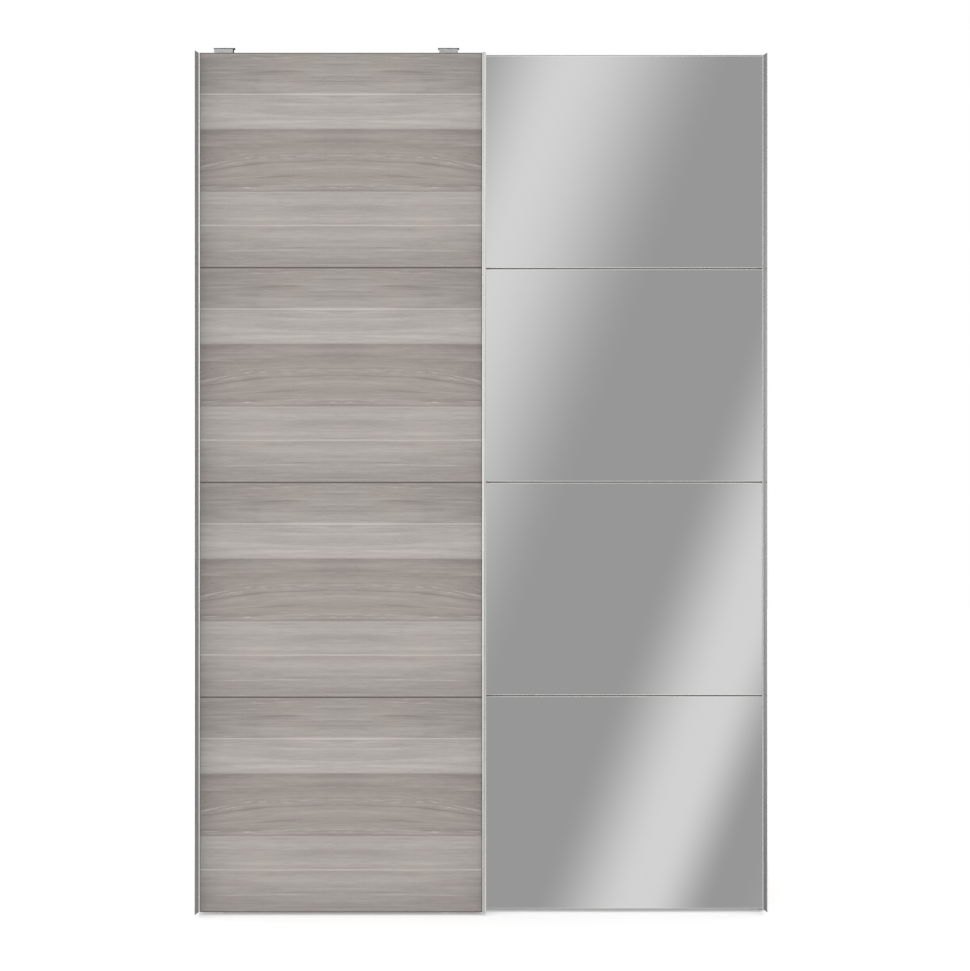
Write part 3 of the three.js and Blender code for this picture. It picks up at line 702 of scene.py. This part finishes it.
def build_guide_screws(door, side):
    """Two small screws through a guide's plate."""
    node = f"{door}_guide_{side}"
    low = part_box(node)[0]
    plate = low.y + GUIDE_PLATE[door] * MM
    shape = Shape()
    for reach in (-GUIDE_SCREW_REACH[door], GUIDE_SCREW_REACH[door]):
        place = (middle(node).x + reach * MM, plate, low.z + GUIDE_SCREW_RISE[door] * MM)
        screw(shape, place, BACKWARD, *SMALL_SCREW)
    shape.piece(f"{node}_screws", "steel", f"{door}_door")


def build_wheel_shields(node):
    """A pressed steel ring over the bearing on each face of a wheel."""
    low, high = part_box(node)
    centre = middle(node)
    shape = Shape()
    for y, way in ((low.y, -1), (high.y, 1)):
        shape.lathe((centre.x, y, centre.z), (0, way, 0), SHIELD, 32)
    shape.piece(f"{node}_shields", "steel", node)


def build_pin_ribs(node):
    """Finger ribs under a guide pin's pull tab."""
    low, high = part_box(node)
    front = low.y + RIB_INSET * MM
    back = high.y - RIB_INSET * MM
    shape = Shape()
    for i in range(RIBS):
        x = low.x + (RIB_START + i * RIB_PITCH) * MM
        shape.box((x - RIB_HALF * MM, front, low.z - RIB_HEIGHT * MM), (x + RIB_HALF * MM, back, low.z))
    shape.piece(f"{node}_ribs", "white", node, 0.25)


def build_cover_plug(node):
    """The blanking plug over the height adjuster, in a hanger cover's lid."""
    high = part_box(node)[1]
    shape = Shape()
    shape.lathe((middle(node).x, high.y - PLUG_FROM_BACK * MM, high.z), UP, PLUG)
    shape.piece(f"{node}_plug", "black", "front_door")


def build_pile(door, stile, groove, reach):
    """The ragged pile seal in the groove down a stile's back."""
    node = f"{door}_{stile}_stile"
    low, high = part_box(node)
    x = groove * MM + (low.x if groove > 0 else high.x)
    root = high.y - PILE_DEPTH * MM
    wide = PILE_ROOT_HALF * MM
    narrow = PILE_TIP_HALF * MM
    steps = int((high.z - low.z - 2 * PILE_END * MM) / (PILE_PITCH * MM))
    shape = Shape()
    for i in range(steps + 1):
        z = low.z + (PILE_END + PILE_PITCH * i) * MM
        tip = high.y + (reach - random.uniform(0.0, PILE_SHORT)) * MM
        lean = random.uniform(-PILE_LEAN, PILE_LEAN) * MM
        base = len(shape.points)
        shape.points += [(x - wide, root, z), (x + wide, root, z)]
        shape.points += [(x + narrow + lean, tip, z), (x - narrow + lean, tip, z)]
        if i == 0:
            shape.faces.append((base + 3, base + 2, base + 1, base))
            continue
        for j in range(4):
            k = (j + 1) % 4
            shape.faces.append((base - 4 + j, base - 4 + k, base + k, base + j))
        if i == steps:
            shape.faces.append((base, base + 1, base + 2, base + 3))
    shape.piece(f"{node}_pile", "pile", f"{door}_door")


def build_gasket(side, x):
    """A thin rubber bead where a stile's lip meets the front door's board."""
    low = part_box("front_wood_panel_1")[0]
    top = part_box("front_wood_panel_4")[1].z
    front = low.y - GASKET_HEIGHT * MM
    back = low.y - GASKET_GAP * MM
    shape = Shape()
    shape.box((x, front, low.z), (x + GASKET_WIDTH * MM, back, top))
    shape.piece(f"front_gasket_{side}", "rubber", "front_door", 0.2)


for side in SIDES:
    for door in DOORS:
        build_hanger_screws(door, side)
    for door in DOORS:
        build_guide_screws(door, side)
    build_cover_plug(f"front_hanger_cover_{side}")
    for door in DOORS:
        build_wheel_shields(f"{door}_wheel_{side}")
        build_pin_ribs(f"{door}_guide_pin_{side}")
for door, stile, groove, reach in PILES:
    build_pile(door, stile, groove, reach)
build_gasket("left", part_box("front_handle_stile")[1].x)
build_gasket("right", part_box("front_meeting_stile")[0].x - GASKET_WIDTH * MM)


# ---------------------------------------------------------------- fittings on the carcass
EDGED = [
    "side_panel_left",
    "side_panel_right",
    "centre_partition",
    "top_panel",
    "bottom_panel",
    "hat_shelf_left",
    "hat_shelf_right",
    "shelf_right_1",
    "shelf_right_2",
    "shelf_right_3",
]
EDGING_THICKNESS = 0.6
EDGING_INSET = 0.1

TRACK_SCREWS = 7
TRACK_SCREW_START = -690  # along X from the middle
TRACK_SCREW_PITCH = 230
TRACK_SCREW_BACK = 19.2  # behind the track's front, on its web between the beads
TRACK_WEB = 3
TRACK_SCREW = (3.2, 1.4)
STOP_SCREW = (3.4, 1.6)
STOP_SCREW_IN = 7  # from the stop's outer end
STOP_SCREW_FORWARD = 2.8  # from the track's middle

PIN_COLUMNS = (60, 500)  # behind the carcass front
PIN_RADIUS = 2.5
HOLE_PITCH = 32
HOLE_START = 120  # over the bottom panel
HOLE_END = 100  # under the hat shelf
HOLE = [(PIN_RADIUS, 0.0), (PIN_RADIUS, 0.06), (0.0, 0.06)]
SHELF_PIN = [(0.0, 0.0), (PIN_RADIUS, 0.0), (PIN_RADIUS, 7.3), (2.0, 8.0), (0.0, 8.0)]
PIN_DROP = 2.6  # from a shelf's underside to the pin's axis

CAM_CAP = [(8.0, 0.0), (8.0, 0.5), (7.3, 0.9), (1.4, 0.9), (1.1, 0.5), (0.0, 0.5)]
CAM_FROM_END = 34
CAM_FROM_MIDDLE = 43  # either side of the partition
CAM_FROM_EDGE = {"hat_shelf_left": 60, "hat_shelf_right": 60, "top_panel": 80}

SOCKET_PLATE = 4
SOCKET_SCREW_REACH = 15.5

JOINER_HALF = 11
JOINER_THICKNESS = 0.8
JOINER_RIB_HALF = 1.6
JOINER_RIB_TOP = 1.3
JOINER_INSET = 2
NAIL = [(2.2, 0.0), (2.1, 0.3), (1.2, 0.55), (0.0, 0.6)]
NAIL_COLUMN = 741  # from the middle to the nails down each side
NAIL_START = 50
NAIL_PITCH = 148
NAIL_ROWS = 15
NAIL_IN = 9  # from a board's edge to the nails along it
NAILS_EACH_WAY = 5
NAIL_SPACING = 122.5


def build_edging(node):
    """The edge band on a board's front edge."""
    low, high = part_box(node)
    inset = EDGING_INSET * MM
    front = low.y - EDGING_THICKNESS * MM
    shape = Shape()
    shape.box((low.x + inset, front, low.z + inset), (high.x - inset, low.y, high.z - inset))
    wide = high.x - low.x > high.z - low.z
    shape.piece(f"{node}_edging", "edging_x" if wide else "edging_z", "carcass", 0.25)


def build_track_screws():
    """The screws along the top track, and one in each track stop."""
    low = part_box("top_track")[0]
    shape = Shape()
    for i in range(TRACK_SCREWS):
        x = (TRACK_SCREW_START + TRACK_SCREW_PITCH * i) * MM
        screw(shape, (x, low.y + TRACK_SCREW_BACK * MM, low.z + TRACK_WEB * MM), UP, *TRACK_SCREW)
    y = middle("top_track").y - STOP_SCREW_FORWARD * MM
    for side in SIDES:
        stop_low, stop_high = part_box(f"track_stop_{side}")
        x = stop_low.x + STOP_SCREW_IN * MM if side == "left" else stop_high.x - STOP_SCREW_IN * MM
        screw(shape, (x, y, stop_high.z), UP, *STOP_SCREW)
    shape.piece("top_track_screws", "steel", "carcass")


def bay_walls():
    """The two faces of the right bay's walls, and the way each one looks along X."""
    return (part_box("side_panel_right")[0].x, -1), (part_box("centre_partition")[1].x, 1)


def build_shelf_holes():
    """The rows of shelf holes on both walls of the right bay."""
    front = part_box("side_panel_right")[0].y
    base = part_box("bottom_panel")[1].z
    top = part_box("hat_shelf_right")[0].z
    shape = Shape()
    for x, way in bay_walls():
        for column in PIN_COLUMNS:
            z = base + HOLE_START * MM
            while z < top - HOLE_END * MM:
                shape.lathe((x, front + column * MM, z), (way, 0, 0), HOLE, 12)
                z += HOLE_PITCH * MM
    shape.piece("shelf_holes", "black", "carcass")


def build_shelf_pins():
    """Four steel pins under each adjustable shelf."""
    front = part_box("side_panel_right")[0].y
    shape = Shape()
    for i in (1, 2, 3):
        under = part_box(f"shelf_right_{i}")[0].z - PIN_DROP * MM
        for x, way in bay_walls():
            for column in PIN_COLUMNS:
                shape.lathe((x, front + column * MM, under), (way, 0, 0), SHELF_PIN, 16)
    shape.piece("shelf_pins", "steel", "carcass")


def build_cam_covers():
    """Caps over the cam fittings under the hat shelves and the top panel."""
    shape = Shape()
    for node, from_edge in CAM_FROM_EDGE.items():
        low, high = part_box(node)
        columns = [low.x + CAM_FROM_END * MM, high.x - CAM_FROM_END * MM]
        if node == "top_panel":
            columns += [-CAM_FROM_MIDDLE * MM, CAM_FROM_MIDDLE * MM]
        for x in columns:
            for y in (low.y + from_edge * MM, high.y - from_edge * MM):
                shape.lathe((x, y, low.z), DOWN, CAM_CAP)
    shape.piece("cam_covers", "white", "carcass")


def build_socket_screws():
    """Two screws through each rail socket's plate."""
    z = middle("hanging_rail").z
    shape = Shape()
    for side, way in (("left", 1), ("right", -1)):
        node = f"rail_socket_{side}"
        low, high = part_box(node)
        x = low.x + SOCKET_PLATE * MM if way > 0 else high.x - SOCKET_PLATE * MM
        for reach in (-SOCKET_SCREW_REACH, SOCKET_SCREW_REACH):
            screw(shape, (x, middle(node).y + reach * MM, z), (way, 0, 0), *SMALL_SCREW)
    shape.piece("rail_socket_screws", "steel", "carcass")


def build_back_joiner():
    """The strip over the joint between the back panels, with a rib down its middle."""
    low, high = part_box("back_panel_left")
    base = low.z + JOINER_INSET * MM
    top = high.z - JOINER_INSET * MM
    face = high.y + JOINER_THICKNESS * MM
    shape = Shape()
    shape.box((-JOINER_HALF * MM, high.y, base), (JOINER_HALF * MM, face, top))
    rib = high.y + JOINER_RIB_TOP * MM
    shape.box((-JOINER_RIB_HALF * MM, face, base), (JOINER_RIB_HALF * MM, rib, top))
    shape.piece("back_joiner", "white", "carcass", 0.2)


def build_back_nails():
    """The nails down both sides of the back, along its top and foot, and into the hat shelves."""
    low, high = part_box("back_panel_left")
    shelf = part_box("hat_shelf_left")[0].z
    columns = (-NAIL_COLUMN * MM, NAIL_COLUMN * MM)
    heights = [low.z + (NAIL_START + NAIL_PITCH * i) * MM for i in range(NAIL_ROWS)]
    rows = (low.z + NAIL_IN * MM, shelf + NAIL_IN * MM, high.z - NAIL_IN * MM)
    steps = [i for i in range(-NAILS_EACH_WAY, NAILS_EACH_WAY + 1) if i]
    places = [(x, z) for x in columns for z in heights]
    places += [(i * NAIL_SPACING * MM, z) for z in rows for i in steps]
    shape = Shape()
    for x, z in places:
        shape.lathe((x, high.y, z), BACKWARD, NAIL, 12)
    shape.piece("back_nails", "steel", "carcass")


for node in EDGED:
    build_edging(node)
build_track_screws()
build_shelf_holes()
build_shelf_pins()
build_cam_covers()
build_socket_screws()
build_back_joiner()
build_back_nails()


# ---------------------------------------------------------------- floor, light, camera
FLOOR_SIZE = 14.0
EYE = 1.281  # the camera's height
VIEWING_DISTANCE = 4.333  # from the camera to the front door's face
LENS = 61.2
SENSOR = 36
SHIFT_X = 0.0032
SHIFT_Y = -0.06
WHITE_LIGHT = (1, 1, 1, 1)
FLOOR_DARK = 0.93
FLOOR_LIGHT = 0.95
FLOOR_GLOW = 0.30


def build_floor():
    """A pale floor that catches soft shadows and doesn't show in polished surfaces."""
    mesh = bpy.data.meshes.new("floor")
    half = FLOOR_SIZE / 2
    corners = [(-half, -half, 0), (half, -half, 0), (half, half, 0), (-half, half, 0)]
    mesh.from_pydata(corners, [], [(0, 1, 2, 3)])
    floor = bpy.data.objects.new("floor", mesh)
    made, g = material("pale_floor", Specular_IOR_Level=0.0)
    grain = g.noise(g.point(*g.position()), scale=3, detail=3)
    pale = g.ramp(grain, [(0.3, FLOOR_DARK), (0.7, FLOOR_LIGHT)])
    link(g, Base_Color=pale, Emission_Color=pale, Roughness=g.spread(grain, 0.3, 0.7, 0.85, 0.95))
    g.shader.inputs["Emission Strength"].default_value = FLOOR_GLOW
    mesh.materials.append(made)
    bpy.context.scene.collection.objects.link(floor)
    floor.visible_glossy = False


# The studio as polished surfaces see it: a grey room with soft boxes that lean to one side. A
# direction's slant says where it meets them: how far it goes sideways for each unit forward, less
# LEAN times how far it rises for each unit forward.
STUDIO_GREY = 0.42
LEAN = 0.38
FAR = 40  # past any slant or rise
# The slants where a box starts, is full, starts to fade and ends, then its light, and how far up and
# down it reaches.
SOFT_BOXES = [
    (-FAR - 1, -FAR, -0.20, -0.08, 1.10, 0.36),
    (-0.10, -0.03, -0.03, 0.07, 0.45, FAR),
    (0.14, 0.20, 0.21, 0.25, 0.45, FAR),
    (0.26, 0.36, FAR, FAR + 1, 0.30, FAR),
]
LEAST_FORWARD = 0.05  # keeps the slant of a sideways direction finite
BEHIND = 0.50  # how bright the studio is behind the object, to polished surfaces
DAYLIGHT = 1.00
DAYLIGHT_SLOPE = 0.20  # how much brighter it is towards the key, and darker away from it
KEY_WAY = (-0.52, -0.62, 0.58)


def build_world():
    """A white backdrop to the camera, soft boxes to polished surfaces and soft daylight to the rest."""
    world = bpy.data.worlds.new("studio")
    bpy.context.scene.world = world
    world.use_nodes = True
    g = Graph(world.node_tree)
    background = world.node_tree.nodes["Background"]
    way = g.node("ShaderNodeSeparateXYZ")
    g.feed(way.inputs[0], g.node("ShaderNodeTexCoord").outputs["Generated"])
    x, y, z = way.outputs
    forward = g.math("MAXIMUM", g.math("ABSOLUTE", y), LEAST_FORWARD)
    slant = g.math("DIVIDE", g.add(x, g.mul(z, -LEAN)), forward)
    boxes = STUDIO_GREY
    for start, full, fade, end, light, reach in SOFT_BOXES:
        rise = g.spread(slant, start, full, 0.0, 1.0, smooth=True)
        fall = g.spread(slant, fade, end, 1.0, 0.0, smooth=True)
        shape = g.mul(g.mul(rise, fall), g.hump(z, 0.0, reach))
        boxes = g.add(boxes, g.mul(shape, light))
    past = g.spread(y, 0.0, 0.3, 0.0, 1.0, smooth=True)
    polished = g.mix(past, boxes, (BEHIND, BEHIND, BEHIND, 1))
    towards_key = g.total((x, KEY_WAY[0]), (y, KEY_WAY[1]), (z, KEY_WAY[2]))
    soft = g.add(g.mul(towards_key, DAYLIGHT_SLOPE), DAYLIGHT)
    path = g.node("ShaderNodeLightPath")
    lit = g.mix(path.outputs["Is Glossy Ray"], soft, polished)
    g.feed(background.inputs["Color"], g.mix(path.outputs["Is Camera Ray"], lit, WHITE_LIGHT))


def build_camera():
    """A level camera straight in front of the doors."""
    camera = bpy.data.cameras.new("camera")
    camera.sensor_width = SENSOR
    camera.lens = LENS
    camera.shift_x = SHIFT_X
    camera.shift_y = SHIFT_Y
    obj = bpy.data.objects.new("camera", camera)
    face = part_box("front_wood_panel_2")[0].y
    obj.location = (0, face - VIEWING_DISTANCE, EYE)
    obj.rotation_euler = (math.pi / 2, 0, 0)
    bpy.context.scene.collection.objects.link(obj)
    bpy.context.scene.camera = obj


build_floor()
build_world()
build_camera()
bpy.context.scene.view_settings.view_transform = "Standard"
